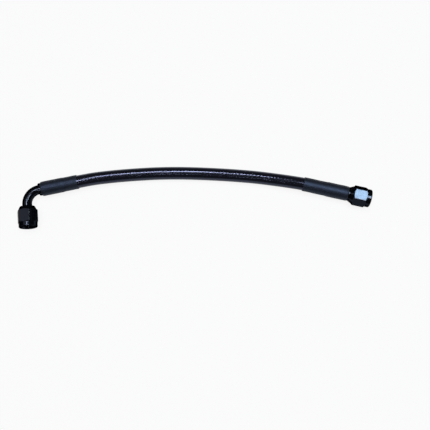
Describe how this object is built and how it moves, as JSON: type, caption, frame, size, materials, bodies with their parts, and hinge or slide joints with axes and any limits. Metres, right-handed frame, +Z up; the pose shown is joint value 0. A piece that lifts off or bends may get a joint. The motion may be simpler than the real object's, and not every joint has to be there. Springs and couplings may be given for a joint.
{
  "type": "turbo oil feed line",
  "caption": "Flexible braided oil hose with crimped, sleeved ends: a bent-tube fitting on one end and a straight fitting on the other, each with a free-turning hexagonal swivel nut.",
  "frame": {"origin": "bottom centre of the two end fittings' common box, on the surface that the line lies on", "axes": "+X along the line from the bent-tube end to the straight end, +Z up; the bent end's nut faces -Y and the hose arches towards +Y"},
  "size_m": [0.2798, 0.0507, 0.015],
  "materials": {
    "black_anodised": "glossy black anodised",
    "bare_aluminium": "bare, as turned",
    "cover_black": "glossy, with the braid showing through as fine relief",
    "shrink_black": "satin heat-shrink tube",
    "steel_wire": "woven wire",
    "liner_white": "smooth fluoropolymer"
  },
  "bodies": {
    "root": {"elbow_seat": "black_anodised", "elbow_tube": "black_anodised", "elbow_stem": "black_anodised", "elbow_collar": "bare_aluminium", "elbow_sleeve": "shrink_black", "hose_liner": "liner_white", "hose_braid": "steel_wire", "hose_cover": "cover_black", "straight_sleeve": "shrink_black", "straight_collar": "bare_aluminium", "straight_stem": "black_anodised"},
    "elbow_nut": {"elbow_nut": "black_anodised"},
    "straight_nut": {"straight_nut": "black_anodised"}
  },
  "joints": [
    {"name": "elbow_nut_swivel", "type": "hinge", "parent": "root", "child": "elbow_nut", "pos_m": [-0.13225, -0.00429, 0.00748], "axis": [0.1236, -0.9923, 0], "continuous": true},
    {"name": "straight_nut_swivel", "type": "hinge", "parent": "root", "child": "straight_nut", "pos_m": [0.12216, 0.00615, 0.00748], "axis": [0.9744, -0.225, 0], "continuous": true}
  ]
}
